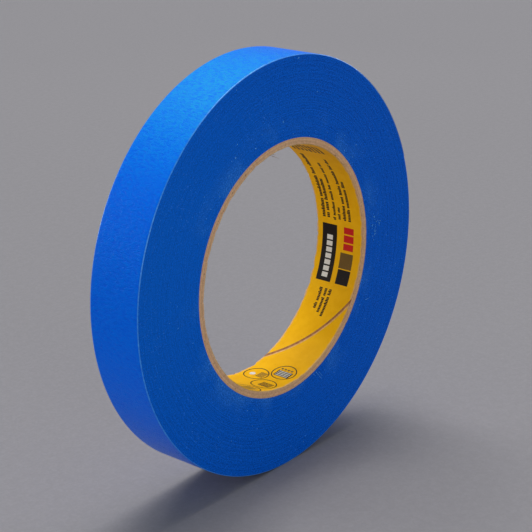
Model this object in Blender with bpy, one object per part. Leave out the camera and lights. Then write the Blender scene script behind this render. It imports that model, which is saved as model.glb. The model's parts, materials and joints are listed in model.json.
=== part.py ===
"""A roll of blue crepe masking tape on a spiral-wound paperboard core.

The roll stands on its rim. +Y runs along the roll's axis, +Z is up, and the origin is on the floor
under the middle of the roll. Angles turn about the axis from +X towards +Z. Every round outline has
the same facet edges, so each ring nests inside the next with an even gap, and one facet lies flat
on the floor.
"""

import math

import bmesh
import bpy

# Driving dimensions, in metres.
ROLL_RADIUS = 0.0650
ROLL_WIDTH = 0.0183
BORE_RADIUS = 0.0381
LINER_THICKNESS = 0.00015
PLY_COUNT = 4
PLY_THICKNESS = 0.00045
GLUE_LINE = 0.00005
TAPE_THICKNESS = 0.00015

# The facets that stand in for a circle.
FACETS = 96
FACET_ANGLE = 360.0 / FACETS
BOTTOM_EDGE = -90.0 + FACET_ANGLE / 2

# Each ring of the core is a strip whose two edges meet in a diagonal butt seam. The seam starts at
# an angle of its own on the front side, and all seams lean the same way. The liner's edges meet
# less closely than the plies'. A gap is measured round the ring.
SEAM_TURN = -43.0
PLY_SEAM_GAP = 0.0004
LINER_SEAM_GAP = 0.0014
SEAM_STEPS = 12
SEAM_OVERSHOOT = 0.001
LINER_SEAM_START = -32.0
PLY_SEAM_SPACING = 76.0

# The tape's free end: a row of short segments hinged at the tape's outer surface.
TAIL_SEGMENTS = 5
SEGMENT_FACETS = 2
TAIL_END_FACET = 29
TAIL_CLEARANCE = 0.00005
SEGMENT_GAP = 0.0001


def facet_edge(index):
    """Angle of one facet edge, in degrees."""
    return BOTTOM_EDGE + FACET_ANGLE * index


def polar(angle, radius):
    """(x, z) about the roll's axis."""
    return radius * math.cos(math.radians(angle)), radius * math.sin(math.radians(angle))


def lap_share(facets_along):
    """Share of a full lap, for a count of facets measured along the tape."""
    return (facets_along % FACETS) / FACETS


CORE_RADIUS = BORE_RADIUS + LINER_THICKNESS + PLY_COUNT * (GLUE_LINE + PLY_THICKNESS)
WINDING_BORE = CORE_RADIUS + GLUE_LINE
LAPS = (ROLL_RADIUS - WINDING_BORE) / TAPE_THICKNESS
PEEL_FACET = TAIL_END_FACET + TAIL_SEGMENTS * SEGMENT_FACETS
CORE_START_FACET = TAIL_END_FACET + round(FACETS * (LAPS % 1.0))


def lap_top(index):
    """Outer radius of the outermost lap: largest at the free end, one thickness less a turn later."""
    return ROLL_RADIUS - TAPE_THICKNESS * lap_share(index - TAIL_END_FACET)


def lap_bottom(index):
    """Inner radius of the first lap: smallest where the tape starts on the core."""
    return WINDING_BORE + TAPE_THICKNESS * lap_share(CORE_START_FACET - index)


AXIS_HEIGHT = lap_top(0) * math.cos(math.radians(FACET_ANGLE / 2))


def material(name, colour, roughness):
    made = bpy.data.materials.new(name)
    made.use_nodes = True
    shader = made.node_tree.nodes["Principled BSDF"]
    shader.inputs["Base Color"].default_value = (*colour, 1.0)
    shader.inputs["Roughness"].default_value = roughness
    shader.inputs["Metallic"].default_value = 0.0
    made.diffuse_color = (*colour, 1.0)
    return made


def prism(name, outlines, width, finish, parent, location=(0.0, 0.0, 0.0)):
    """A solid of constant section: closed outlines in the XZ plane, the later ones cut out as holes."""
    mesh = bmesh.new()
    for outline in outlines:
        corners = [mesh.verts.new((x, -width / 2, z)) for x, z in outline]
        for corner, following in zip(corners, corners[1:] + corners[:1]):
            mesh.edges.new((corner, following))
    bmesh.ops.triangle_fill(mesh, use_beauty=True, edges=mesh.edges[:])
    raised = bmesh.ops.extrude_face_region(mesh, geom=mesh.faces[:])["geom"]
    far_side = [item for item in raised if isinstance(item, bmesh.types.BMVert)]
    bmesh.ops.translate(mesh, vec=(0.0, width, 0.0), verts=far_side)
    bmesh.ops.recalc_face_normals(mesh, faces=mesh.faces[:])
    data = bpy.data.meshes.new(name)
    mesh.to_mesh(data)
    mesh.free()
    data.shade_smooth()
    data.set_sharp_from_angle(angle=math.radians(30))
    data.materials.append(finish)
    made = bpy.data.objects.new(name, data)
    made.parent = parent
    made.location = location
    bpy.context.scene.collection.objects.link(made)
    return made


def circle_outline(radius):
    return [polar(facet_edge(index), radius) for index in range(FACETS)]


def seam_cutter(name, radius, thickness, start_angle, gap, parent):
    """A thin helical wall that crosses a ring from its front side to its back side."""
    half_gap = math.degrees(gap / 2 / radius)
    low = radius - SEAM_OVERSHOOT
    high = radius + thickness + SEAM_OVERSHOOT
    mesh = bmesh.new()
    sections = []
    for step in range(-1, SEAM_STEPS + 2):
        share = step / SEAM_STEPS
        angle = start_angle + SEAM_TURN * share
        depth = ROLL_WIDTH * (share - 0.5)
        corners = []
        for side, reach in ((-1, low), (1, low), (1, high), (-1, high)):
            x, z = polar(angle + side * half_gap, reach)
            corners.append(mesh.verts.new((x, depth, z)))
        sections.append(corners)
    for near, far in zip(sections, sections[1:]):
        for corner in range(4):
            following = (corner + 1) % 4
            mesh.faces.new((near[corner], near[following], far[following], far[corner]))
    mesh.faces.new(sections[0])
    mesh.faces.new(sections[-1])
    bmesh.ops.recalc_face_normals(mesh, faces=mesh.faces[:])
    data = bpy.data.meshes.new(name)
    mesh.to_mesh(data)
    mesh.free()
    cutter = bpy.data.objects.new(name, data)
    cutter.parent = parent
    cutter.hide_render = True
    cutter.display_type = "WIRE"
    bpy.context.scene.collection.objects.link(cutter)
    return cutter


def core_ring(name, radius, thickness, seam_start, seam_gap, finish, parent):
    """One spiral-wound strip of the core: a ring that its own diagonal butt seam cuts open."""
    outlines = [circle_outline(radius + thickness), circle_outline(radius)]
    ring = prism(name, outlines, ROLL_WIDTH, finish, parent)
    cut = ring.modifiers.new("butt_seam", "BOOLEAN")
    cut.operation = "DIFFERENCE"
    cutter_name = name + "_seam_cutter"
    cut.object = seam_cutter(cutter_name, radius, thickness, seam_start, seam_gap, parent)
    return ring


def winding_outlines():
    """Outer and inner outline of the wound tape, each with the step that one end of the tape makes."""
    outer = []
    for index in range(FACETS):
        under_tail = TAIL_END_FACET <= index < PEEL_FACET
        if under_tail or index == PEEL_FACET:
            outer.append(polar(facet_edge(index), lap_top(index) - TAPE_THICKNESS))
        if not under_tail:
            outer.append(polar(facet_edge(index), lap_top(index)))
    inner = []
    for index in range(FACETS):
        if index == CORE_START_FACET % FACETS:
            inner.append(polar(facet_edge(index), WINDING_BORE))
            inner.append(polar(facet_edge(index), WINDING_BORE + TAPE_THICKNESS))
        else:
            inner.append(polar(facet_edge(index), lap_bottom(index)))
    return [outer, inner]


def tail_hinge(number):
    """(x, z) of the hinge where a tail segment starts, on the tape's outer surface."""
    index = PEEL_FACET - (number - 1) * SEGMENT_FACETS
    return polar(facet_edge(index), lap_top(index) + TAIL_CLEARANCE)


def tail_segment(number, finish, parent):
    """A short length of tape, modelled about its own hinge and lying on the lap below."""
    hinge_x, hinge_z = tail_hinge(number)
    first = PEEL_FACET - (number - 1) * SEGMENT_FACETS
    last = first - SEGMENT_FACETS
    half_gap = math.degrees(SEGMENT_GAP / 2 / ROLL_RADIUS)
    top = []
    underside = []
    for index in range(last, first + 1):
        inset = half_gap * ((index == last) - (index == first))
        surface = lap_top(index) + TAIL_CLEARANCE
        top.append(polar(facet_edge(index) + inset, surface))
        underside.append(polar(facet_edge(index) + inset, surface - TAPE_THICKNESS))
    outline = [(x - hinge_x, z - hinge_z) for x, z in top + underside[::-1]]
    if number == 1:
        origin_x, origin_z = 0.0, 0.0
    else:
        origin_x, origin_z = tail_hinge(number - 1)
    place = (hinge_x - origin_x, 0.0, hinge_z - origin_z)
    return prism(f"tail_segment_{number}", [outline], ROLL_WIDTH, finish, parent, place)


def build_core(parent):
    liner_paper = material("liner_paper", (0.78, 0.50, 0.04), 0.55)
    kraft_board = material("kraft_board", (0.42, 0.27, 0.15), 0.90)
    core_ring(
        "core_liner", BORE_RADIUS, LINER_THICKNESS, LINER_SEAM_START, LINER_SEAM_GAP, liner_paper, parent
    )
    for number in range(1, PLY_COUNT + 1):
        radius = BORE_RADIUS + LINER_THICKNESS + GLUE_LINE + (number - 1) * (PLY_THICKNESS + GLUE_LINE)
        seam_start = LINER_SEAM_START + number * PLY_SEAM_SPACING
        name = f"core_ply_{number}"
        core_ring(name, radius, PLY_THICKNESS, seam_start, PLY_SEAM_GAP, kraft_board, parent)


def build_tape(parent):
    crepe = material("blue_crepe_paper", (0.02, 0.16, 0.55), 0.60)
    prism("tape_winding", winding_outlines(), ROLL_WIDTH, crepe, parent)
    holder = parent
    for number in range(1, TAIL_SEGMENTS + 1):
        holder = tail_segment(number, crepe, holder)


def main():
    for old in list(bpy.data.objects):
        bpy.data.objects.remove(old, do_unlink=True)
    axis = bpy.data.objects.new("roll_axis", None)
    axis.location = (0.0, 0.0, AXIS_HEIGHT)
    bpy.context.scene.collection.objects.link(axis)
    build_core(axis)
    build_tape(axis)


main()
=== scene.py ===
"""Looks for the masking tape roll: high-detail tape, core, liner print, lint, floor, light and camera.

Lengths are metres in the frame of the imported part: the roll stands on z = 0 and its axis runs along Y.
Angles are degrees about the roll's axis, from +X towards +Z.
"""
import json
import math
import random

import bmesh
import bpy
import numpy as np
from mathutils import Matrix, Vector, noise


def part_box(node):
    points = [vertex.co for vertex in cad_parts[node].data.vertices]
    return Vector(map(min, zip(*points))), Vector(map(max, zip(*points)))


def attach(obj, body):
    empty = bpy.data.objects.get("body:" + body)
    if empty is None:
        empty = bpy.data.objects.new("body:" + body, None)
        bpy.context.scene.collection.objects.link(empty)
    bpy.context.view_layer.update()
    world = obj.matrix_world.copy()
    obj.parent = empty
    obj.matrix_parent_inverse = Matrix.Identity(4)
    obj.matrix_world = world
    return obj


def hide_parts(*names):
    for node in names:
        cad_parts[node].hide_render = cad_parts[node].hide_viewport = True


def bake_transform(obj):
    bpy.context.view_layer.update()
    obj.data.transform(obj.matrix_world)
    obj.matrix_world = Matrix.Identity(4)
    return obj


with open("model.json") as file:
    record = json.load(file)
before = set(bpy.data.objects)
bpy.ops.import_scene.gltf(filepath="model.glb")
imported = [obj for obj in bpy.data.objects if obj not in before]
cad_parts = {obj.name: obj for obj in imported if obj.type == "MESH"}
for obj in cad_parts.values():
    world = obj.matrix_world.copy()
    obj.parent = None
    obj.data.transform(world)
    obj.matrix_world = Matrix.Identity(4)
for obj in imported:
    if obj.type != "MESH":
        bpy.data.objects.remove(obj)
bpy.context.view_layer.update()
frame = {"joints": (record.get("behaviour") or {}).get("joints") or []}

# Driving dimensions that the nodes' boxes don't hold.
CAD_FACETS = 96
LINER_THICKNESS = 0.00015
TAPE_THICKNESS = 0.00015
SEAM_START = -31.5
SEAM_TURN = -42.5
SEAM_BOW = -2.7
LINER_SEAM_GAP = 0.0024
PLY_SEAM_GAP = 0.0004
PLY_SEAM_SPACING = 76.0

# Small gaps that keep neighbouring surfaces apart.
WINDING_GAP = 0.00003
PLY_GAP = 0.00004
TAIL_LIFT = 0.00001
LINT_LIFT = 0.00001

# Rounding of the outer laps' slit corners, and how far the laps' edges stand in or out.
EDGE_ROUND = 0.00024
LAP_INSET = 0.00004
LAP_RELIEF = 0.000016
TORN_DEPTH = 0.0007

# Mesh resolution: columns run round the roll, rows across it.
COLUMN_STEP = 0.75
SIDE_ROWS = 56
RIM_ROWS = 22
EDGE_ROWS = 4
STRIP_STEPS = 16
CORE_COLUMNS = 720
LINER_ROWS = 20
PLY_ROWS = 6
PLY_END_ROWS = 4
SEAM_STEPS = 80
RING_STEPS = 30
HAIR_STEPS = 6
HAIR_SIDES = 3
WELD_DISTANCE = 2e-6
SHARP_ANGLE = 35

# Camera: direction from the roll, distance, aim past the roll's centre, and lens in mm.
CAMERA_AZIMUTH = -50.53
CAMERA_ELEVATION = 19.26
CAMERA_DISTANCE = 0.43875
CAMERA_AIM = (0.0005, 0.0, -0.0011)
CAMERA_LENS = 96.94
SENSOR_WIDTH = 36.0


def node_radius(node):
    """Outer radius of a CAD ring, whose box touches the middles of its facets."""
    low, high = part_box(node)
    return (high.x - low.x) / 2 / math.cos(math.pi / CAD_FACETS)


liner_low, liner_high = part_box("core_liner")
AXIS = (liner_low + liner_high) / 2
HALF_WIDTH = (liner_high.y - liner_low.y) / 2
BORE_RADIUS = node_radius("core_liner") - LINER_THICKNESS
CORE_RADIUS = node_radius("core_ply_4")
HINGE_ANGLES = [
    math.degrees(math.atan2(joint["pos_m"][2] - AXIS.z, joint["pos_m"][0])) for joint in frame["joints"]
]
SEGMENT_ANGLE = HINGE_ANGLES[0] - HINGE_ANGLES[1]
PEEL_ANGLE = HINGE_ANGLES[0]
TAIL_END = HINGE_ANGLES[-1] - SEGMENT_ANGLE


def lap_share(angle):
    """Share of a lap from the tape's free end back along the tape to an angle."""
    return ((angle - TAIL_END) % 360.0) / 360.0


ROLL_RADIUS = AXIS.z + TAPE_THICKNESS * lap_share(-90.0)


def place(angle, radius, y):
    """A point from its angle, its radius and its place along the axis."""
    turn = math.radians(angle)
    return (AXIS.x + radius * math.cos(turn), y, AXIS.z + radius * math.sin(turn))


# ---------------------------------------------------------------- mesh helpers

def grid_faces(rows, columns, first, closed=False):
    """Quads between neighbouring rows of points, as indices from the first point's."""
    faces = []
    for row in range(rows - 1):
        for column in range(columns if closed else columns - 1):
            following = (column + 1) % columns
            a = first + row * columns + column
            b = first + row * columns + following
            faces.append((a, b, b + columns, a + columns))
    return faces


def patched_mesh(name, patches, materials):
    """One mesh from grids of points. A patch is (points, uvs, material number, flipped)."""
    vertices, faces, slots, corner_uvs = [], [], [], []
    for points, uvs, slot, flipped in patches:
        rows, columns = len(points), len(points[0])
        first = len(vertices)
        vertices.extend(point for row in points for point in row)
        flat_uvs = [uv for row in uvs for uv in row]
        for face in grid_faces(rows, columns, first):
            face = face[::-1] if flipped else face
            faces.append(face)
            slots.append(slot)
            corner_uvs.extend(flat_uvs[index - first] for index in face)
    data = bpy.data.meshes.new(name)
    data.from_pydata(vertices, [], faces)
    layer = data.uv_layers.new(name="UVMap")
    layer.data.foreach_set("uv", np.array(corner_uvs, np.float32).ravel())
    data.polygons.foreach_set("material_index", slots)
    work = bmesh.new()
    work.from_mesh(data)
    bmesh.ops.remove_doubles(work, verts=work.verts[:], dist=WELD_DISTANCE)
    bmesh.ops.dissolve_degenerate(work, dist=WELD_DISTANCE / 2, edges=work.edges[:])
    work.to_mesh(data)
    work.free()
    for material in materials:
        data.materials.append(material)
    data.shade_smooth()
    data.set_sharp_from_angle(angle=math.radians(SHARP_ANGLE))
    made = bpy.data.objects.new(name, data)
    bpy.context.scene.collection.objects.link(made)
    return made


def shell_mesh(name, vertices, faces, material):
    """A mesh from a plain list of points and faces."""
    data = bpy.data.meshes.new(name)
    data.from_pydata(vertices, [], faces)
    data.materials.append(material)
    data.shade_smooth()
    made = bpy.data.objects.new(name, data)
    bpy.context.scene.collection.objects.link(made)
    return made


# ---------------------------------------------------------------- material helpers

class Shader:
    """A Principled material with short calls for the nodes that feed it."""

    def __init__(self, name, **constants):
        self.material = bpy.data.materials.new(name)
        self.material.use_nodes = True
        self.tree = self.material.node_tree
        self.surface = self.tree.nodes["Principled BSDF"]
        for socket, value in constants.items():
            self.surface.inputs[socket.replace("_", " ").title().replace("Ior", "IOR")].default_value = value

    def node(self, kind, **settings):
        made = self.tree.nodes.new(kind)
        for name, value in settings.items():
            setattr(made, name, value)
        return made

    def link(self, source, target):
        self.tree.links.new(source, target)

    def feed(self, target, value):
        """Sets a socket to a number or colour, or links another node's output to it."""
        if isinstance(value, bpy.types.NodeSocket):
            self.link(value, target)
        else:
            target.default_value = value

    def math(self, operation, first, second=0.0, third=0.0):
        made = self.node("ShaderNodeMath", operation=operation)
        for socket, value in zip(made.inputs, (first, second, third)):
            self.feed(socket, value)
        return made.outputs[0]

    def span(self, value, low, high, to_low=0.0, to_high=1.0):
        """Maps a range of values smoothly to another range."""
        made = self.node("ShaderNodeMapRange", interpolation_type="SMOOTHSTEP")
        for socket, item in zip(made.inputs, (value, low, high, to_low, to_high)):
            self.feed(socket, item)
        return made.outputs[0]

    def scaled(self, coordinates, scale):
        made = self.node("ShaderNodeVectorMath", operation="MULTIPLY")
        self.feed(made.inputs[0], coordinates)
        made.inputs[1].default_value = scale
        return made.outputs[0]

    def noise(self, coordinates, scale, detail=2.0, roughness=0.5, distortion=0.0):
        made = self.node("ShaderNodeTexNoise")
        self.feed(made.inputs["Vector"], coordinates)
        made.inputs["Scale"].default_value = scale
        made.inputs["Detail"].default_value = detail
        made.inputs["Roughness"].default_value = roughness
        made.inputs["Distortion"].default_value = distortion
        return made.outputs[0]

    def rings(self, value, scale, detail=3.0):
        """Noise along one value: rings when the value is a radius."""
        made = self.node("ShaderNodeTexNoise", noise_dimensions="1D")
        self.feed(made.inputs["W"], value)
        made.inputs["Scale"].default_value = scale
        made.inputs["Detail"].default_value = detail
        return made.outputs[0]

    def cells(self, coordinates, scale):
        """Distance to the nearest of many scattered points."""
        made = self.node("ShaderNodeTexVoronoi", feature="F1")
        self.feed(made.inputs["Vector"], coordinates)
        made.inputs["Scale"].default_value = scale
        return made.outputs["Distance"]

    def mix(self, share, first, second):
        made = self.node("ShaderNodeMix", data_type="RGBA")
        self.feed(made.inputs["Factor"], share)
        self.feed(made.inputs["A"], first)
        self.feed(made.inputs["B"], second)
        return made.outputs["Result"]

    def bump(self, height, strength, distance):
        made = self.node("ShaderNodeBump")
        made.inputs["Strength"].default_value = strength
        made.inputs["Distance"].default_value = distance
        self.link(height, made.inputs["Height"])
        return made.outputs["Normal"]

    def close_to(self, coordinates, point, reach):
        """1 at a point, falling to 0 at the given distance from it."""
        made = self.node("ShaderNodeVectorMath", operation="DISTANCE")
        self.feed(made.inputs[0], coordinates)
        made.inputs[1].default_value = point
        return self.span(made.outputs["Value"], 0.0, reach, 1.0, 0.0)

    def coordinates(self):
        return self.node("ShaderNodeTexCoord").outputs["Object"]

    def uv(self):
        return self.node("ShaderNodeUVMap", uv_map="UVMap").outputs["UV"]

    def radius_and_y(self, coordinates):
        """Distance from the roll's axis, and the place along it."""
        parts = self.node("ShaderNodeSeparateXYZ")
        self.link(coordinates, parts.inputs[0])
        across = self.math("SUBTRACT", parts.outputs["X"], AXIS.x)
        up = self.math("SUBTRACT", parts.outputs["Z"], AXIS.z)
        squares = self.math("ADD", self.math("MULTIPLY", across, across), self.math("MULTIPLY", up, up))
        return self.math("SQRT", squares), parts.outputs["Y"]

    def finish(self, colour=None, roughness=None, normal=None):
        if colour is not None:
            self.feed(self.surface.inputs["Base Color"], colour)
        if roughness is not None:
            self.feed(self.surface.inputs["Roughness"], roughness)
        if normal is not None:
            self.link(normal, self.surface.inputs["Normal"])
        return self.material


def rgb(red, green, blue):
    return (red, green, blue, 1.0)


# ---------------------------------------------------------------- materials

# Where a pale painted highlight lies on the rim's top, and where a painted pool of light makes the front
# side paler: a place, and how far it reaches.
HIGHLIGHT_PAINT_PLACE = (-0.024, -0.003, 0.126)
HIGHLIGHT_PAINT_REACH = 0.047
PAINTED_LIGHT_PLACE = (-0.062, -HALF_WIDTH, 0.085)
PAINTED_LIGHT_REACH = 0.105
DUSTY_REACH = 0.010


def crepe_backing():
    """The tape's back: creped paper, wrinkled across its width, with a thin release coat."""
    shader = Shader("crepe_backing", specular_ior_level=0.08, specular_tint=rgb(0.0, 1.0, 0.9))
    uv = shader.uv()
    wrinkles = shader.noise(shader.scaled(uv, (1.0, 0.42, 1.0)), 1500.0, 3.0, 0.68, 0.8)
    fine = shader.noise(shader.scaled(uv, (1.0, 0.6, 1.0)), 4200.0, 2.0, 0.6)
    cloud = shader.noise(shader.coordinates(), 60.0, 3.0, 0.5)
    pits = shader.span(shader.noise(shader.scaled(uv, (1.0, 0.5, 1.0)), 800.0, 2.0), 0.30, 0.42, 1.0, 0.0)
    height = shader.math("MULTIPLY_ADD", fine, 0.35, wrinkles)
    tone = shader.span(height, 0.45, 0.90)
    creped = shader.mix(tone, rgb(0.0, 0.124, 0.92), rgb(0.0, 0.190, 1.0))
    colour = shader.mix(shader.span(cloud, 0.35, 0.7, 0.0, 0.4), creped, rgb(0.0, 0.162, 0.98))
    colour = shader.mix(shader.math("MULTIPLY", pits, 0.3), colour, rgb(0.0, 0.120, 0.80))
    # Pale patch on the rim's top that follows the wrinkles: a painted highlight.
    painted_highlight = shader.math("MULTIPLY", shader.close_to(shader.coordinates(), HIGHLIGHT_PAINT_PLACE, HIGHLIGHT_PAINT_REACH),
                        shader.span(height, 0.50, 0.85, 0.25, 1.0))
    colour = shader.mix(painted_highlight, colour, rgb(0.012, 0.385, 0.86))
    roughness = shader.span(wrinkles, 0.3, 0.7, 0.40, 0.26)
    return shader.finish(colour, roughness, shader.bump(height, 1.0, 0.00016))


def cut_edge():
    """The slit side of the winding: the edges of all the laps, with rings where laps stand proud."""
    shader = Shader("cut_edge", specular_ior_level=0.08, specular_tint=rgb(0.2, 0.7, 1.0))
    at = shader.coordinates()
    radius, _ = shader.radius_and_y(at)
    wander = shader.noise(at, 60.0, 2.0)
    wandering = shader.math("MULTIPLY_ADD", wander, 0.0004, radius)
    laps = shader.rings(wandering, 3300.0, 2.0)
    bands = shader.rings(wandering, 420.0, 4.0)
    fibres = shader.noise(at, 2300.0, 3.0, 0.72)
    smudge = shader.noise(at, 620.0, 4.0, 0.7)
    haze = shader.noise(at, 70.0, 4.0, 0.6)
    speck = shader.span(shader.cells(at, 1100.0), 0.08, 0.22, 1.0, 0.0)
    tone = shader.span(shader.math("MULTIPLY_ADD", laps, 0.30, fibres), 0.54, 0.78)
    colour = shader.mix(tone, rgb(0.0, 0.058, 0.42), rgb(0.001, 0.160, 0.86))
    colour = shader.mix(shader.span(smudge, 0.42, 0.66, 0.0, 0.5), colour, rgb(0.0, 0.120, 0.68))
    colour = shader.mix(shader.span(bands, 0.45, 0.7, 0.0, 0.25), colour, rgb(0.002, 0.114, 0.63))
    # Paler patch on the front side towards its upper left: a painted pool of light.
    painted_light = shader.close_to(at, PAINTED_LIGHT_PLACE, PAINTED_LIGHT_REACH)
    colour = shader.mix(shader.math("MULTIPLY", painted_light, 0.34), colour, rgb(0.004, 0.190, 0.86))
    near_core = shader.span(radius, CORE_RADIUS, CORE_RADIUS + DUSTY_REACH, 1.0, 0.0)
    dust = shader.math("MULTIPLY", shader.span(haze, 0.42, 0.62), shader.span(fibres, 0.42, 0.62, 0.2, 1.0))
    dusty = shader.math("MULTIPLY", dust, near_core)
    colour = shader.mix(shader.math("MULTIPLY", dusty, 0.42), colour, rgb(0.07, 0.34, 0.88))
    flecked = shader.math("MULTIPLY", speck, shader.span(haze, 0.42, 0.7, 0.15, 0.8))
    colour = shader.mix(flecked, colour, rgb(0.08, 0.32, 0.92))
    roughness = shader.span(fibres, 0.3, 0.7, 0.72, 0.55)
    height = shader.math("MULTIPLY_ADD", laps, 0.6, shader.math("MULTIPLY", fibres, 0.8))
    height = shader.math("MULTIPLY_ADD", smudge, 0.8, height)
    return shader.finish(colour, roughness, shader.bump(height, 0.6, 0.00010))


def corner_fibres_and_highlight():
    """The rounded corner of the outermost laps: cut fibres that catch the light, in a blue paler than the
    rim's that is partly a painted highlight.
    """
    shader = Shader("corner_fibres_and_highlight", specular_ior_level=1.0, specular_tint=rgb(0.6, 0.95, 1.0))
    at = shader.coordinates()
    fibres = shader.noise(at, 1500.0, 3.0, 0.65)
    patches = shader.noise(at, 160.0, 3.0)
    # The paler blue is partly the fibres' own and partly a painted highlight along the corner.
    colour = shader.mix(shader.span(fibres, 0.35, 0.65), rgb(0.0, 0.18, 0.90), rgb(0.06, 0.38, 1.0))
    colour = shader.mix(shader.span(patches, 0.35, 0.7, 0.0, 0.5), colour, rgb(0.0, 0.20, 0.88))
    return shader.finish(colour, 0.34, shader.bump(fibres, 0.3, 0.00005))


def adhesive_side():
    """The tape's inner side: tacky rubber adhesive over the blue paper."""
    shader = Shader("adhesive_side", coat_weight=0.5, coat_roughness=0.25, specular_ior_level=0.5)
    uv = shader.uv()
    wrinkles = shader.noise(shader.scaled(uv, (1.0, 0.4, 1.0)), 1900.0, 2.0, 0.55, 0.4)
    streaks = shader.noise(shader.scaled(uv, (0.15, 1.0, 1.0)), 900.0, 3.0)
    colour = shader.mix(shader.span(wrinkles, 0.3, 0.7), rgb(0.02, 0.13, 0.42), rgb(0.05, 0.24, 0.60))
    colour = shader.mix(shader.span(streaks, 0.45, 0.75, 0.0, 0.4), colour, rgb(0.10, 0.28, 0.55))
    return shader.finish(colour, 0.30, shader.bump(wrinkles, 0.3, 0.00005))


def kraft_board(name, depth):
    """Paperboard of the core's plies, seen mostly on its cut edge. Depth darkens one ply a little."""
    shader = Shader(name, specular_ior_level=0.15)
    at = shader.coordinates()
    radius, _ = shader.radius_and_y(at)
    drift = shader.math("MULTIPLY_ADD", shader.noise(at, 260.0, 2.0), 0.00025, radius)
    layers = shader.rings(drift, 5200.0, 3.0)
    pulp = shader.noise(at, 1700.0, 4.0, 0.7)
    bits = shader.span(shader.cells(at, 700.0), 0.07, 0.17, 1.0, 0.0)
    pale = rgb(0.87 * depth, 0.54 * depth, 0.315 * depth)
    deep = rgb(0.63 * depth, 0.36 * depth, 0.190 * depth)
    colour = shader.mix(shader.span(shader.math("MULTIPLY_ADD", layers, 0.4, pulp), 0.45, 0.95), deep, pale)
    specks = shader.math("MULTIPLY", bits, shader.span(pulp, 0.4, 0.6))
    colour = shader.mix(specks, colour, rgb(0.06, 0.03, 0.018))
    height = shader.math("MULTIPLY_ADD", layers, 0.6, pulp)
    return shader.finish(colour, 0.88, shader.bump(height, 0.6, 0.00008))


def liner_paper():
    """Smooth paper printed with solid yellow, with a little of the board's mottle showing through."""
    shader = Shader("liner_paper", specular_ior_level=0.03)
    at = shader.coordinates()
    formation = shader.noise(at, 260.0, 4.0, 0.6)
    grain = shader.noise(at, 2600.0, 2.0, 0.6)
    flecks = shader.span(shader.cells(at, 420.0), 0.05, 0.11, 1.0, 0.0)
    colour = shader.mix(shader.span(formation, 0.3, 0.7), rgb(0.93, 0.475, 0.006), rgb(0.98, 0.525, 0.010))
    colour = shader.mix(shader.span(grain, 0.5, 0.75, 0.0, 0.15), colour, rgb(1.0, 0.55, 0.012))
    colour = shader.mix(shader.math("MULTIPLY", flecks, 0.25), colour, rgb(0.45, 0.22, 0.02))
    _, along = shader.radius_and_y(at)
    rim_noise = shader.noise(at, 500.0, 3.0, 0.6)
    reach = shader.math("MULTIPLY_ADD", rim_noise, 0.0015, shader.math("ABSOLUTE", along))
    worn = shader.span(reach, HALF_WIDTH, HALF_WIDTH + 0.0006)
    colour = shader.mix(worn, colour, rgb(0.78, 0.48, 0.21))
    roughness = shader.span(grain, 0.3, 0.7, 0.50, 0.38)
    height = shader.math("MULTIPLY_ADD", formation, 0.8, shader.math("MULTIPLY", grain, 0.3))
    return shader.finish(colour, roughness, shader.bump(height, 0.25, 0.00006))


def liner_cut():
    """The liner's own thin edge: white paper core stained by the ink."""
    shader = Shader("liner_cut", specular_ior_level=0.2)
    fibres = shader.noise(shader.coordinates(), 2400.0, 3.0, 0.65)
    colour = shader.mix(shader.span(fibres, 0.35, 0.7), rgb(0.55, 0.33, 0.07), rgb(0.80, 0.62, 0.30))
    return shader.finish(colour, 0.8, shader.bump(fibres, 0.4, 0.00005))


def ink(name, full, thin):
    """Printing ink that lets a little of the paper's grain through."""
    shader = Shader(name, specular_ior_level=0.15)
    at = shader.coordinates()
    grain = shader.noise(at, 2300.0, 3.0, 0.65)
    pull = shader.noise(at, 350.0, 2.0)
    share = shader.math("MULTIPLY_ADD", pull, 0.4, grain)
    colour = shader.mix(shader.span(share, 0.72, 1.05), full, thin)
    return shader.finish(colour, 0.5, shader.bump(grain, 0.2, 0.00003))


def fibre(name, pale, deep):
    """Loose paper fibre or lint."""
    shader = Shader(name, specular_ior_level=0.2)
    tone = shader.noise(shader.coordinates(), 900.0, 2.0)
    return shader.finish(shader.mix(shader.span(tone, 0.35, 0.65), deep, pale), 0.8)


def floor_paper():
    """Seamless background paper."""
    shader = Shader("floor_paper", specular_ior_level=0.03)
    at = shader.coordinates()
    grain = shader.noise(at, 900.0, 3.0, 0.6)
    flock = shader.noise(at, 320.0, 3.0, 0.6)
    cloud = shader.noise(at, 2.2, 2.0, 0.5)
    colour = shader.mix(shader.span(cloud, 0.35, 0.65), rgb(0.264, 0.252, 0.264), rgb(0.274, 0.261, 0.273))
    colour = shader.mix(shader.span(grain, 0.35, 0.65, 0.0, 0.8), colour, rgb(0.290, 0.277, 0.290))
    colour = shader.mix(shader.span(flock, 0.35, 0.65, 0.0, 0.4), colour, rgb(0.249, 0.238, 0.249))
    return shader.finish(colour, 0.85, shader.bump(grain, 0.2, 0.0002))


# ---------------------------------------------------------------- the tape

def outer_radius(angle):
    """The winding's radius at an angle, one tape thickness smaller after a full lap."""
    return ROLL_RADIUS - TAPE_THICKNESS * lap_share(angle)


def rim_section():
    """Rows of (inset from the rim's radius, y): the front corner, the flat middle and the back corner."""
    corner = []
    for step in range(EDGE_ROWS + 1):
        turn = math.pi / 2 * step / EDGE_ROWS
        corner.append((EDGE_ROUND * (1 - math.sin(turn)), EDGE_ROUND * (1 - math.cos(turn))))
    front = [(inset, -HALF_WIDTH + reach) for inset, reach in corner]
    back = [(inset, HALF_WIDTH - reach) for inset, reach in reversed(corner)]
    flat = 2 * (HALF_WIDTH - EDGE_ROUND)
    middle = [(0.0, -HALF_WIDTH + EDGE_ROUND + flat * step / RIM_ROWS) for step in range(1, RIM_ROWS)]
    return front, middle, back


def arc(angle):
    """Length of tape from the free end, along the outermost lap."""
    return math.radians(angle - TAIL_END) * ROLL_RADIUS


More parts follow.
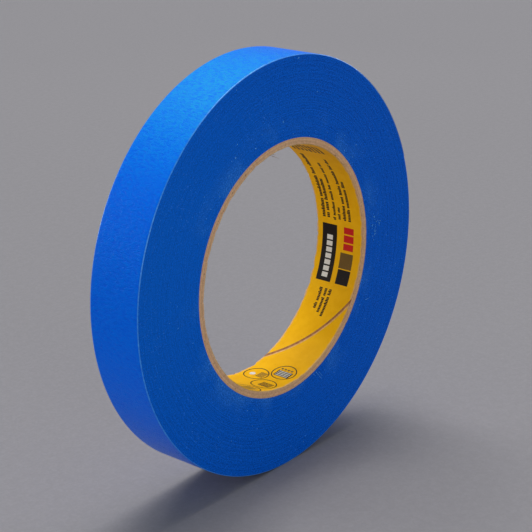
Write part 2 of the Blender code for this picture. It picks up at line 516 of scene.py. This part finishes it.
def rim_patches(columns, radius_of, slots):
    """The outer surface between two sides: front corner, middle and back corner."""
    front, middle, back = rim_section()
    bands = [(front, slots[1]), ([front[-1]] + middle + [back[0]], slots[0]), (back, slots[1])]
    patches = []
    for rows, slot in bands:
        points = [
            [place(angle, radius_of(column) - inset, y) for column, angle in enumerate(columns)]
            for inset, y in rows
        ]
        uvs = [[(arc(angle), y) for angle in columns] for _, y in rows]
        patches.append((points, uvs, slot, True))
    return patches


def lap_relief(radius, angle, side):
    """How far the laps' edges stand in or out: slow drifts over many laps, and round the roll."""
    turn = math.radians(angle)
    drift = math.sin(radius * 2600.0 + 0.7 * math.sin(turn) + side)
    drift += 0.6 * math.sin(radius * 6100.0 + 1.3 * side)
    wave = 0.5 * math.sin(radius * 9700.0 + math.sin(2 * turn + side))
    return LAP_RELIEF * (drift + wave)


def side_patch(columns, radius_of, side, slot):
    """One cut side of the winding, from the core to the rounded corner."""
    inner = CORE_RADIUS + WINDING_GAP
    points, uvs = [], []
    for row in range(SIDE_ROWS + 1):
        share = row / SIDE_ROWS
        line, line_uvs = [], []
        for column, angle in enumerate(columns):
            radius = inner + (radius_of(column) - EDGE_ROUND - inner) * share
            free = min(1.0, 6 * share, 6 * (1 - share))
            y = side * (HALF_WIDTH - free * (LAP_INSET + lap_relief(radius, angle, side)))
            line.append(place(angle, radius, y))
            line_uvs.append((arc(angle), radius))
        points.append(line)
        uvs.append(line_uvs)
    return points, uvs, slot, side > 0


def wound_laps(crepe, cut, corner):
    """All the wound tape, with the recess that the free end lies in."""
    steps = round(360.0 / COLUMN_STEP)
    recess_columns = round((PEEL_ANGLE - TAIL_END) / COLUMN_STEP)
    columns = [TAIL_END + COLUMN_STEP * step for step in range(recess_columns + 1)]
    columns += [TAIL_END + COLUMN_STEP * step for step in range(recess_columns, steps + 1)]

    def radius_of(column):
        if column <= recess_columns:
            return outer_radius(columns[column]) - TAPE_THICKNESS
        if column == len(columns) - 1:
            return ROLL_RADIUS - TAPE_THICKNESS
        return outer_radius(columns[column])

    inner = CORE_RADIUS + WINDING_GAP
    wall = [[place(angle, inner, y) for angle in columns] for y in (-HALF_WIDTH, HALF_WIDTH)]
    wall_uvs = [[(arc(angle), y) for angle in columns] for y in (-HALF_WIDTH, HALF_WIDTH)]
    patches = rim_patches(columns, radius_of, (0, 2))
    patches.append(side_patch(columns, radius_of, -1, 1))
    patches.append(side_patch(columns, radius_of, 1, 1))
    patches.append((wall, wall_uvs, 1, False))
    laps = patched_mesh("tape_wound_laps", patches, [crepe, cut, corner])
    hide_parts("tape_winding")
    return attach(laps, "roll")


def torn_inset(y):
    """How far the torn end falls short at a place across the tape, in degrees."""
    ragged = math.sin(y * 2900.0) + 0.6 * math.sin(y * 7300.0 + 1.0) + 0.4 * math.sin(y * 15100.0 + 2.0)
    return math.degrees(TORN_DEPTH * (1.0 + 0.45 * ragged) / 2 / ROLL_RADIUS)


def tape_strip(name, start, end, materials, torn):
    """A closed strip of tape from a start angle down to an end angle. A torn end is ragged."""
    angles = [start + (end - start) * step / STRIP_STEPS for step in range(STRIP_STEPS + 1)]
    front, middle, back = rim_section()
    rows = front + middle + back
    top, top_uvs, under, under_uvs = [], [], [], []
    for inset, y in rows:
        inset_at_end = torn_inset(y) if torn else 0.0
        line = [angle + inset_at_end * step / STRIP_STEPS for step, angle in enumerate(angles)]
        top.append([place(angle, outer_radius(angle) - inset + TAIL_LIFT, y) for angle in line])
        under.append([
            place(angle, outer_radius(angle) - TAPE_THICKNESS + 2 * TAIL_LIFT, y) for angle in line
        ])
        top_uvs.append([(arc(angle), y) for angle in line])
        under_uvs.append([(arc(angle), y) for angle in line])
    count = len(front) - 1
    last = len(rows) - 1
    patches = []
    for low, high, slot in ((0, count, 2), (count, last - count, 0), (last - count, last, 2)):
        patches.append((top[low:high + 1], top_uvs[low:high + 1], slot, False))
    patches.append((under, under_uvs, 3, True))
    for row, flipped in ((0, True), (last, False)):
        patches.append(([top[row], under[row]], [top_uvs[row], under_uvs[row]], 1, flipped))
    for column, flipped in ((0, False), (-1, True)):
        upper, lower = [line[column] for line in top], [line[column] for line in under]
        uvs = [line[column] for line in top_uvs]
        patches.append(([upper, lower], [uvs, uvs], 1, flipped))
    strip = patched_mesh(name, patches, materials)
    return strip


def free_end(crepe, cut, corner, adhesive):
    """The free end: one strip for each hinge, from its own hinge to the next one."""
    materials = [crepe, cut, corner, adhesive]
    ends = HINGE_ANGLES[1:] + [TAIL_END]
    for number, (start, end) in enumerate(zip(HINGE_ANGLES, ends), 1):
        strip = tape_strip(f"tape_free_end_{number}", start, end, materials, end == TAIL_END)
        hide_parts(f"tail_segment_{number}")
        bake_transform(strip)


# ---------------------------------------------------------------- the core

def seam_angle(y, start=SEAM_START):
    """Angle of a butt seam at a place along the axis. The seam bows a little from a true helix."""
    share = min(1.0, max(0.0, (y + HALF_WIDTH) / (2 * HALF_WIDTH)))
    return start + SEAM_TURN * share + SEAM_BOW * math.sin(math.pi * share)


def worn_back(angle, radius, side, amount):
    """How far a cut end of the core is frayed back at a place."""
    at = Vector(place(angle, radius, side * HALF_WIDTH))
    slow = 0.5 + 0.5 * noise.noise(at * 150.0)
    chips = max(0.0, noise.noise(at * 420.0 + Vector((3.0, 0.0, 7.0))) - 0.12)
    fine = noise.noise(at * 1500.0)
    return amount * max(0.0, 0.35 * slow + 1.6 * chips + 0.12 * fine)


def wound_strip(name, inner, outer, seam_start, gap_width, wear, rows, end_rows, materials):
    """One spiral strip of the core. Its two edges meet at the diagonal seam, and its cut ends are frayed.

    `rows` divide its width, and `end_rows` divide the thickness of its cut ends.
    """
    gap = math.degrees(gap_width / inner)
    shares = [column / CORE_COLUMNS for column in range(CORE_COLUMNS + 1)]

    def end_line(side, radius):
        """Points and UVs along one cut end, at one radius."""
        line, uvs = [], []
        for share in shares:
            y = side * HALF_WIDTH
            angle = seam_angle(y, seam_start) + gap / 2 + (360.0 - gap) * share
            y -= side * worn_back(angle, radius, side, wear[side])
            line.append((angle, y))
            uvs.append((share * 2 * math.pi * BORE_RADIUS, y))
        return line, uvs

    def face(radius):
        """Points and UVs of the strip's inner or outer face."""
        front, _ = end_line(-1, radius)
        back, _ = end_line(1, radius)
        points, uvs = [], []
        for row in range(rows + 1):
            part = row / rows
            line, line_uvs = [], []
            for share, (_, low), (_, high) in zip(shares, front, back):
                y = low + (high - low) * part
                angle = seam_angle(y, seam_start) + gap / 2 + (360.0 - gap) * share
                line.append(place(angle, radius, y))
                line_uvs.append((share * 2 * math.pi * BORE_RADIUS, y))
            points.append(line)
            uvs.append(line_uvs)
        return points, uvs

    inside, uvs = face(inner)
    outside, outside_uvs = face(outer)
    patches = [(inside, uvs, 0, False), (outside, outside_uvs, 1, True)]
    for side, row in ((-1, 0), (1, -1)):
        lines, line_uvs = [inside[row]], [uvs[row]]
        for step in range(1, end_rows):
            radius = inner + (outer - inner) * step / end_rows
            places, place_uvs = end_line(side, radius)
            bulge = 0.00003 * math.sin(math.pi * step / end_rows)
            lines.append([
                place(seam_angle(y, seam_start) + gap / 2 + (360.0 - gap) * share, radius, y + side * bulge)
                for share, (_, y) in zip(shares, places)
            ])
            line_uvs.append(place_uvs)
        lines.append(outside[row])
        line_uvs.append(outside_uvs[row])
        patches.append((lines, line_uvs, 1, side < 0))
    for column, flipped in ((0, False), (-1, True)):
        near, far = [line[column] for line in inside], [line[column] for line in outside]
        edge = [line[column] for line in uvs]
        patches.append(([near, far], [edge, edge], 1, flipped))
    return patched_mesh(name, patches, materials)


# How far the cut ends fray, by side: -1 is the front and 1 the back.
LINER_WEAR = {-1: 0.00045, 1: 0.0007}
PLY_WEAR = {-1: 0.00012, 1: 0.0005}
PLY_TINTS = (1.0, 0.95, 1.04, 0.97)


def printed_liner(paper, cut):
    """The yellow liner: one strip whose two edges meet along the diagonal seam."""
    outer = BORE_RADIUS + LINER_THICKNESS * 0.9
    liner = wound_strip("liner_sheet", BORE_RADIUS, outer, SEAM_START, LINER_SEAM_GAP, LINER_WEAR,
                        LINER_ROWS, 1, [paper, cut])
    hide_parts("core_liner")
    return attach(liner, "roll")


def board_plies():
    """The four plies of the core, each with its own tint, seam and frayed ends."""
    for number, tint in enumerate(PLY_TINTS, 1):
        node = f"core_ply_{number}"
        outer = node_radius(node)
        inner = BORE_RADIUS + LINER_THICKNESS if number == 1 else node_radius(f"core_ply_{number - 1}")
        board = kraft_board(f"kraft_ply_{number}", tint)
        start = SEAM_START + number * PLY_SEAM_SPACING
        ply = wound_strip(f"ply_{number}", inner + PLY_GAP, outer, start, PLY_SEAM_GAP, PLY_WEAR,
                          PLY_ROWS, PLY_END_ROWS, [board, board])
        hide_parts(node)
        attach(ply, "roll")


# Stripes in the liner's open seam: (name, low edge, high edge), as shares of the gap from its middle.
SEAM_STRIPES = (("seam_painted_shadow", -0.12, 0.56), ("seam_paper", -0.60, -0.12))


def seam_stripes(seam_shadow, paper):
    """What shows in the liner's open seam: a dark stripe along one edge that is a painted shadow, and bare
    paper by the other.
    """
    width = math.degrees(LINER_SEAM_GAP / BORE_RADIUS)
    radius = BORE_RADIUS + LINER_THICKNESS * 0.2
    for (name, low, high), material in zip(SEAM_STRIPES, (seam_shadow, paper)):
        lines = [[], []]
        for step in range(SEAM_STEPS + 1):
            y = HALF_WIDTH * 0.985 * (2 * step / SEAM_STEPS - 1)
            wander = 0.06 * noise.noise(Vector((y * 900.0, low * 10.0, 0.0)))
            for line, share in zip(lines, (low + wander, high + wander * 0.5)):
                line.append(place(seam_angle(y) + width * share, radius, y))
        stripe = shell_mesh(name, lines[0] + lines[1], grid_faces(2, SEAM_STEPS + 1, 0), material)
        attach(stripe, "roll")


# ---------------------------------------------------------------- print on the liner

INK_HEIGHT = 0.000012
MM = 0.001


class InkSheet:
    """Collects printed shapes of one ink as thin curved patches just inside the liner."""

    def __init__(self, lift=INK_HEIGHT):
        self.radius = BORE_RADIUS - lift
        self.vertices = []
        self.faces = []

    def block_mm(self, angle_low, angle_high, y_low, y_high):
        """A filled rectangle: angles in degrees, y in millimetres."""
        self.block(angle_low, angle_high, y_low * MM, y_high * MM)

    def block(self, angle_low, angle_high, y_low, y_high):
        """A filled rectangle: angles in degrees, y in metres."""
        columns = max(1, math.ceil(abs(angle_high - angle_low) / 1.5))
        first = len(self.vertices)
        for y in (y_low, y_high):
            for column in range(columns + 1):
                angle = angle_low + (angle_high - angle_low) * column / columns
                self.vertices.append(place(angle, self.radius, y))
        self.faces.extend(grid_faces(2, columns + 1, first))

    def ring(self, angle, y, radius, thickness):
        """A ring on the curved liner."""
        first = len(self.vertices)
        for reach in (radius - thickness, radius):
            for step in range(RING_STEPS + 1):
                around = math.radians(360.0 * step / RING_STEPS)
                along = math.degrees(reach * math.cos(around) / BORE_RADIUS)
                self.vertices.append(place(angle + along, self.radius, y + reach * math.sin(around)))
        self.faces.extend(grid_faces(2, RING_STEPS + 1, first))

    def greeked_line(self, angle_low, angle_high, y, height, rng, bold):
        """A line of plain upright strokes in word-sized groups, which stands for a line of small print."""
        at = angle_high
        pitch = math.degrees(0.44 * height / BORE_RADIUS)
        stroke = pitch * min(0.82, 0.48 * bold)
        while at - pitch > angle_low:
            for _ in range(rng.randint(4, 14)):
                if at - stroke < angle_low:
                    break
                tall = height * rng.choice((0.72, 0.72, 0.76, 0.80, 1.0))
                base = y - height / 2
                self.block(at - stroke, at, base, base + tall)
                at -= pitch
            at -= pitch * 1.1

    def make(self, name, material):
        sheet = shell_mesh(name, self.vertices, self.faces, material)
        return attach(sheet, "roll")


# Lines of small print along the bore: (low angle, high angle, y in mm, height in mm, boldness).
SMALL_PRINT = [
    (6.4, 48.0, 6.2, 1.4, 1.7),
    (6.4, 29.5, 4.4, 1.4, 1.7),
    (6.2, 41.9, 1.8, 1.15, 1.7),
    (6.2, 13.8, -0.1, 1.1, 1.7),
    (6.5, 46.4, -2.2, 1.25, 1.7),
    (6.4, 30.4, -4.1, 1.25, 1.7),
    (-40.3, -28.3, 3.6, 1.2, 1.75),
    (-41.6, -28.3, 1.7, 1.2, 1.75),
    (-43.0, -28.3, -0.1, 1.2, 1.75),
]
HEADING_ANGLES = (52.4, 61.5)
HEADING_ROWS_MM = (6.6, 5.0, 3.4, 1.8, 0.2, -1.4, -3.0, -4.6)
HEADING_HEIGHT_MM = 1.1
HEADING_BOLD = 1.75
# Filled blocks: (low angle, high angle, low y in mm, high y in mm).
PANEL = (-25.0, 3.9, 0.95, 6.8)
BLACK_SQUARE = (-25.0, -17.6, -6.0, -1.0)
BROWN_SQUARE = (-17.1, -9.3, -6.0, -0.95)
WHITE_BLOCKS = [(-23.0 + 3.15 * bar, -20.6 + 3.15 * bar, 2.6, 4.9) for bar in range(7)]
RED_BLOCKS = ((-7.9, -4.6, -5.7, -1.8), (-3.9, -0.3, -5.7, -1.8), (0.4, 3.8, -5.7, -1.8))
# Badge rings: the angle and the place across, in mm, of each one's centre.
RING_RADIUS_MM = 4.2
RING_LINE_MM = 0.36
RINGS = ((-89.4, 3.9), (-81.4, -3.1), (-97.2, -3.4), (-110.8, -4.4))


def print_badges(line, grey, white):
    """Four plain rings with bars inside."""
    for angle, y in RINGS:
        line.ring(angle, y * MM, RING_RADIUS_MM * MM, RING_LINE_MM * MM)
    angle, y = RINGS[0]
    white.ring(angle - 0.6, (y + 1.2) * MM, 1.0 * MM, 1.0 * MM)
    for bar in range(5):
        low = y - 3.2 + 0.55 * bar
        grey.block_mm(angle - 2.2, angle + 3.2, low, low + 0.32)
    angle, y = RINGS[1]
    for bar in range(4):
        grey.block_mm(angle + 2.2, angle + 3.4, y + 2.4 - 1.25 * bar, y + 1.6 - 1.25 * bar)
    line.block_mm(angle - 3.6, angle + 1.4, y - 3.0, y + 2.6)
    for bar in range(4):
        white.block_mm(angle - 3.1 + 1.2 * bar, angle - 2.6 + 1.2 * bar, y - 2.6, y + 2.2)
    angle, y = RINGS[2]
    for bar in range(7):
        low = y - 2.9 + 0.62 * bar
        line.block_mm(angle - 2.6, angle + 2.6, low, low + 0.36)
    line.block_mm(angle - 2.6, angle - 1.9, y - 2.9, y + 1.2)
    angle, y = RINGS[3]
    for bar in range(5):
        grey.block_mm(angle - 3.4 + 1.5 * bar, angle - 2.6 + 1.5 * bar, y - 2.2, y + 2.0)


def print_liner():
    """Plain blocks, bars and rings in the places where the liner carries print."""
    rng = random.Random(11)
    black, brown, red, badge_ink = InkSheet(), InkSheet(), InkSheet(), InkSheet()
    grey, white = InkSheet(2 * INK_HEIGHT), InkSheet(3 * INK_HEIGHT)
    for low, high, y, height, bold in SMALL_PRINT:
        black.greeked_line(low, high, y * MM, height * MM, rng, bold)
    for y in HEADING_ROWS_MM:
        black.greeked_line(*HEADING_ANGLES, y * MM, HEADING_HEIGHT_MM * MM, rng, HEADING_BOLD)
    black.block_mm(*PANEL)
    black.block_mm(*BLACK_SQUARE)
    brown.block_mm(*BROWN_SQUARE)
    for block in WHITE_BLOCKS:
        white.block_mm(*block)
    for block in RED_BLOCKS:
        red.block_mm(*block)
    print_badges(badge_ink, grey, white)
    black.make("print_black", ink("ink_black", rgb(0.012, 0.008, 0.006), rgb(0.045, 0.022, 0.006)))
    brown.make("print_brown", ink("ink_brown", rgb(0.165, 0.090, 0.016), rgb(0.26, 0.15, 0.02)))
    red.make("print_red", ink("ink_red", rgb(0.62, 0.012, 0.010), rgb(0.70, 0.05, 0.010)))
    badge_ink.make("print_badges", ink("ink_badge", rgb(0.035, 0.020, 0.010), rgb(0.12, 0.06, 0.010)))
    grey.make("print_grey", ink("ink_grey", rgb(0.20, 0.12, 0.03), rgb(0.34, 0.20, 0.03)))
    white.make("print_white", ink("ink_white", rgb(0.80, 0.78, 0.72), rgb(0.70, 0.66, 0.55)))


# ---------------------------------------------------------------- fibres and lint

FLOOR_CLEARANCE = 0.00005
HAIR_TAPER = 0.7
CORE_FIBRES = 210
RIM_FIBRES = 420
CLUSTER_SPECKS = 24
SCATTERED_SPECKS = 220
# Longer fibres on the core's front edge: (angle, length in mm). They lean this many degrees and mm inwards.
CORE_TUFT = ((103.2, 3.6), (101.6, 2.1), (108.5, 1.4), (131.0, 1.0), (198.0, 1.2))
TUFT_LEAN = 5.6
TUFT_REACH = 0.0022


def from_axis(angle):
    """Unit vector that points away from the roll's axis at an angle."""
    return Vector(place(angle, 1.0, 0.0)) - Vector((AXIS.x, 0.0, AXIS.z))


def loose_aim(angle, side, outward, sideways, rng):
    """A random direction for a fibre, with ranges for how far it leans off the axis and out of the side."""
    return (from_axis(angle + 90) * rng.uniform(-1, 1) + from_axis(angle) * rng.uniform(*outward)
            + Vector((0, side * rng.uniform(*sideways), 0)))


def hair(vertices, faces, root, direction, length, thickness, curl, rng):
    """Adds one bent fibre, a tube that thins towards its tip, unless it would dip under the floor."""
    forward = Vector(direction).normalized()
    side = forward.orthogonal().normalized()
    bend = Vector((rng.uniform(-1, 1), rng.uniform(-1, 1), rng.uniform(-1, 1))).normalized() * curl
    point = Vector(root)
    tube = []
    for step in range(HAIR_STEPS + 1):
        radius = thickness / 2 * (1 - HAIR_TAPER * step / HAIR_STEPS)
        other = forward.cross(side).normalized()
        for corner in range(HAIR_SIDES):
            turn = 2 * math.pi * corner / HAIR_SIDES
            tube.append(tuple(point + (side * math.cos(turn) + other * math.sin(turn)) * radius))
        point = point + forward * length / HAIR_STEPS
        forward = (forward + bend / HAIR_STEPS).normalized()
        side = (side - forward * side.dot(forward)).normalized()
    if min(corner[2] for corner in tube) < FLOOR_CLEARANCE:
        return
    first = len(vertices)
    vertices.extend(tube)
    for step in range(HAIR_STEPS):
        for corner in range(HAIR_SIDES):
            a = first + step * HAIR_SIDES + corner
            b = first + step * HAIR_SIDES + (corner + 1) % HAIR_SIDES
            faces.append((a, b, b + HAIR_SIDES, a + HAIR_SIDES))


def core_fuzz(material):
    """Paper fibres that stand off the cut edges of the core."""
    rng = random.Random(5)
    vertices, faces = [], []
    for _ in range(CORE_FIBRES):
        side = rng.choice((-1, 1))
        angle = rng.uniform(0, 360)
        radius = rng.choice((BORE_RADIUS + 0.0001, rng.uniform(BORE_RADIUS, CORE_RADIUS)))
        root = place(angle, radius, side * (HALF_WIDTH - 0.00002))
        aim = loose_aim(angle, side, (0.0, -0.9), (0.1, 0.5), rng)
        hair(vertices, faces, root, aim, rng.uniform(0.0003, 0.0011), 0.00004, rng.uniform(0.2, 1.5), rng)
    for angle, length in CORE_TUFT:
        root = place(angle, BORE_RADIUS + 0.0002, 0.0002 - HALF_WIDTH)
        tip = place(angle - TUFT_LEAN, BORE_RADIUS - TUFT_REACH, -HALF_WIDTH - 0.0003)
        hair(vertices, faces, root, Vector(tip) - Vector(root), length * MM, 0.00017, 0.35, rng)
    fuzz = shell_mesh("core_fuzz", vertices, faces, material)
    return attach(fuzz, "roll")


def tape_fuzz(material):
    """Short blue fibres along the slit corners of the rim."""
    rng = random.Random(8)
    vertices, faces = [], []
    for _ in range(RIM_FIBRES):
        side = rng.choice((-1, 1))
        angle = rng.uniform(TAIL_END + 45, TAIL_END + 355)
        root = place(angle, outer_radius(angle) - rng.uniform(0.0, 0.0002), side * (HALF_WIDTH - 0.00005))
        aim = loose_aim(angle, side, (-0.1, 0.35), (0.1, 0.6), rng)
        hair(vertices, faces, root, aim, rng.uniform(0.00015, 0.0005), 0.00003, rng.uniform(0.3, 1.6), rng)
    fuzz = shell_mesh("tape_fuzz", vertices, faces, material)
    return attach(fuzz, "roll")


# Pale specks on the front side where they show most: (angle, radius in mm, size in mm).
MARKED_LINT = [
    (121.0, 46.4, 0.4), (93.5, 46.0, 0.4), (75.8, 53.8, 0.35), (52.8, 45.6, 0.35), (4.1, 43.4, 0.4),
    (-19.9, 43.8, 0.35), (86.1, 64.1, 0.5), (8.0, 44.7, 0.3), (110.4, 43.3, 0.45), (105.7, 45.9, 0.3),
    (87.4, 41.6, 0.3), (48.9, 41.5, 0.35), (43.6, 46.3, 0.4), (42.1, 42.5, 0.35), (4.2, 47.3, 0.4),
]
# Pale, nearly radial scuffs on the front side: (angle, inner radius in mm, length in mm).
SCUFFS = [(-69.5, 41.0, 4.6), (-67.8, 42.2, 3.4), (-71.6, 40.8, 2.2), (-28.0, 46.0, 3.0)]
SCUFF_LEAN = 2.0


def lint(material):
    """Pale specks of dust caught on both sides, more of them near the core, and a few scuffs."""
    rng = random.Random(21)
    specks = [(angle, radius * MM, size * MM, -1) for angle, radius, size in MARKED_LINT]
    for _ in range(CLUSTER_SPECKS):
        angle, radius = rng.gauss(2.5, 3.2), rng.gauss(45.0, 1.3)
        specks.append((angle, radius * MM, rng.uniform(0.00014, 0.00038), -1))
    for _ in range(SCATTERED_SPECKS):
        radius = CORE_RADIUS + 0.0004 + (ROLL_RADIUS - CORE_RADIUS - 0.0008) * rng.random() ** 1.4
        specks.append((rng.uniform(0, 360), radius, rng.uniform(0.00008, 0.00026), rng.choice((-1, 1))))
    vertices, faces = [], []
    for angle, radius, size, side in specks:
        root = place(angle, radius, side * (HALF_WIDTH + LINT_LIFT))
        along = Vector((rng.uniform(-1, 1), side * rng.uniform(0.0, 0.15), rng.uniform(-1, 1)))
        length = size * rng.uniform(0.8, 2.0)
        hair(vertices, faces, root, along, length, size * 0.55, rng.uniform(0.3, 2.0), rng)
    for angle, inner, length in SCUFFS:
        root = Vector(place(angle, inner * MM, -HALF_WIDTH - LINT_LIFT))
        tip = Vector(place(angle + SCUFF_LEAN, (inner + length) * MM, -HALF_WIDTH - LINT_LIFT))
        hair(vertices, faces, root, tip - root, length * MM, 0.00009, 0.12, rng)
    dust = shell_mesh("side_lint", vertices, faces, material)
    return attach(dust, "roll")


# ---------------------------------------------------------------- stage

FLOOR_REACH = 6.0
SURROUND_COLOUR = rgb(0.88, 1.00, 1.08)
SURROUND_STRENGTH = 0.25


def floor():
    """A wide sheet of pale grey paper that the roll stands on."""
    reach = FLOOR_REACH
    corners = [(-reach, -reach, 0.0), (reach, -reach, 0.0), (reach, reach, 0.0), (-reach, reach, 0.0)]
    sheet = shell_mesh("floor_sheet", corners, [(0, 1, 2, 3)], floor_paper())


# Soft lights far off: (name, azimuth, elevation, angular size, strength), with angles in degrees.
SOFT_LIGHTS = (
    ("overhead_soft", 145.0, 79.0, 26.0, 0.88),
    ("key_soft", 128.0, 64.0, 22.0, 0.62),
    ("side_key_soft", 97.0, 58.0, 20.0, 0.58),
    ("back_soft", 165.0, 58.0, 16.0, 0.48),
    ("left_back_soft", 200.0, 10.0, 20.0, 0.98),
    ("left_low_soft", 258.0, 7.0, 16.0, 0.18),
    ("right_low_soft", 88.0, 12.0, 18.0, 0.62),
    ("front_low_soft", 340.0, 6.0, 16.0, 0.70),
)


def studio_light():
    """Large soft lights, most of them high behind the roll, and an even pale surround."""
    for name, azimuth, elevation, spread, strength in SOFT_LIGHTS:
        data = bpy.data.lights.new(name, "SUN")
        data.angle = math.radians(spread)
        data.energy = strength
        lamp = bpy.data.objects.new(name, data)
        lamp.location = AXIS + direction_from(azimuth, elevation)
        lamp.rotation_mode = "QUATERNION"
        lamp.rotation_quaternion = direction_from(azimuth, elevation).to_track_quat("Z", "Y")
        bpy.context.scene.collection.objects.link(lamp)
    world = bpy.data.worlds.new("surround")
    world.use_nodes = True
    background = world.node_tree.nodes["Background"]
    background.inputs["Color"].default_value = SURROUND_COLOUR
    background.inputs["Strength"].default_value = SURROUND_STRENGTH
    bpy.context.scene.world = world


def direction_from(azimuth, elevation):
    """Unit vector towards a place round the roll: azimuth 0 is in front of it, on -Y."""
    turn, rise = math.radians(azimuth), math.radians(elevation)
    return Vector((math.sin(turn) * math.cos(rise), -math.cos(turn) * math.cos(rise), math.sin(rise)))


def camera():
    """The camera at the photo's angle, aimed close to the roll's centre."""
    back = direction_from(CAMERA_AZIMUTH, CAMERA_ELEVATION)
    data = bpy.data.cameras.new("camera")
    data.lens = CAMERA_LENS
    data.sensor_width = SENSOR_WIDTH
    data.clip_start = 0.01
    data.clip_end = 50.0
    made = bpy.data.objects.new("camera", data)
    made.location = AXIS + Vector(CAMERA_AIM) + back * CAMERA_DISTANCE
    made.rotation_mode = "QUATERNION"
    made.rotation_quaternion = back.to_track_quat("Z", "Y")
    bpy.context.scene.collection.objects.link(made)
    bpy.context.scene.camera = made


def main():
    camera()
    crepe, cut, corner = crepe_backing(), cut_edge(), corner_fibres_and_highlight()
    wound_laps(crepe, cut, corner)
    free_end(crepe, cut, corner, adhesive_side())
    printed_liner(liner_paper(), liner_cut())
    board_plies()
    # The dark seam stripe is a painted shadow cast by the liner's cut edge.
    seam_stripes(fibre("seam_shadow_paint", rgb(0.46, 0.21, 0.08), rgb(0.32, 0.13, 0.045)),
                 fibre("bare_paper", rgb(0.80, 0.48, 0.20), rgb(0.68, 0.38, 0.13)))
    print_liner()
    core_fuzz(fibre("kraft_fibre", rgb(0.46, 0.29, 0.16), rgb(0.20, 0.11, 0.06)))
    tape_fuzz(fibre("blue_fibre", rgb(0.10, 0.32, 0.80), rgb(0.01, 0.12, 0.45)))
    lint(fibre("pale_lint", rgb(0.34, 0.90, 1.0), rgb(0.16, 0.62, 0.95)))
    floor()
    studio_light()
    bpy.context.scene.view_settings.view_transform = "Standard"


main()
